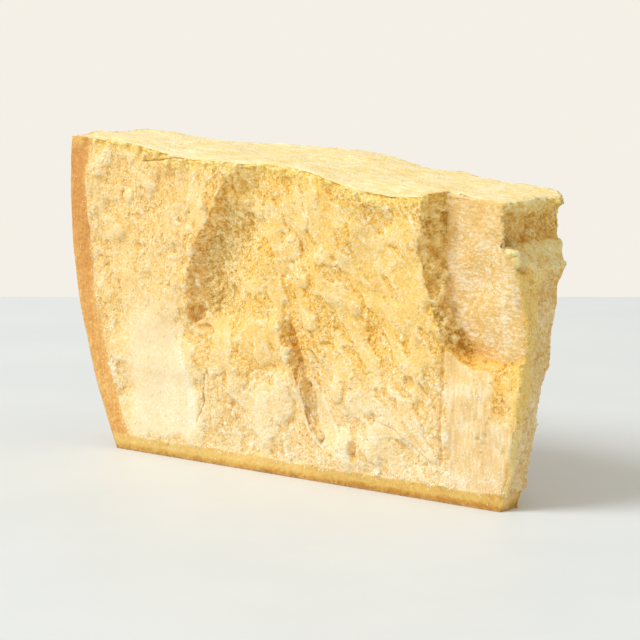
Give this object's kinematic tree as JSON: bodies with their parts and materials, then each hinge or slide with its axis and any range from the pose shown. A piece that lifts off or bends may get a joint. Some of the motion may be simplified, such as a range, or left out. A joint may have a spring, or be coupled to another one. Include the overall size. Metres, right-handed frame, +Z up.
{
  "type": "wedge of parmesan cheese",
  "caption": "Broken wedge of hard, aged parmesan: granular breaks front and back, a level cut top, and rind on the barrel-shaped outer wall and the flat underside.",
  "frame": {"origin": "centre of the bounding box in plan, at the height of the flat rind underside that it rests on", "axes": "+Z up, the wheel's own axis direction; +X along the front break, from the outer rind wall towards the wheel's middle; -Y out of the front break"},
  "size_m": [0.2184, 0.0592, 0.1205],
  "materials": {
    "cheese": "granular pale straw paste with amber hollows, white crystals and a tan rind, matt to slightly waxy"
  },
  "bodies": {
    "root": {"wedge": "cheese"}
  },
  "joints": []
}
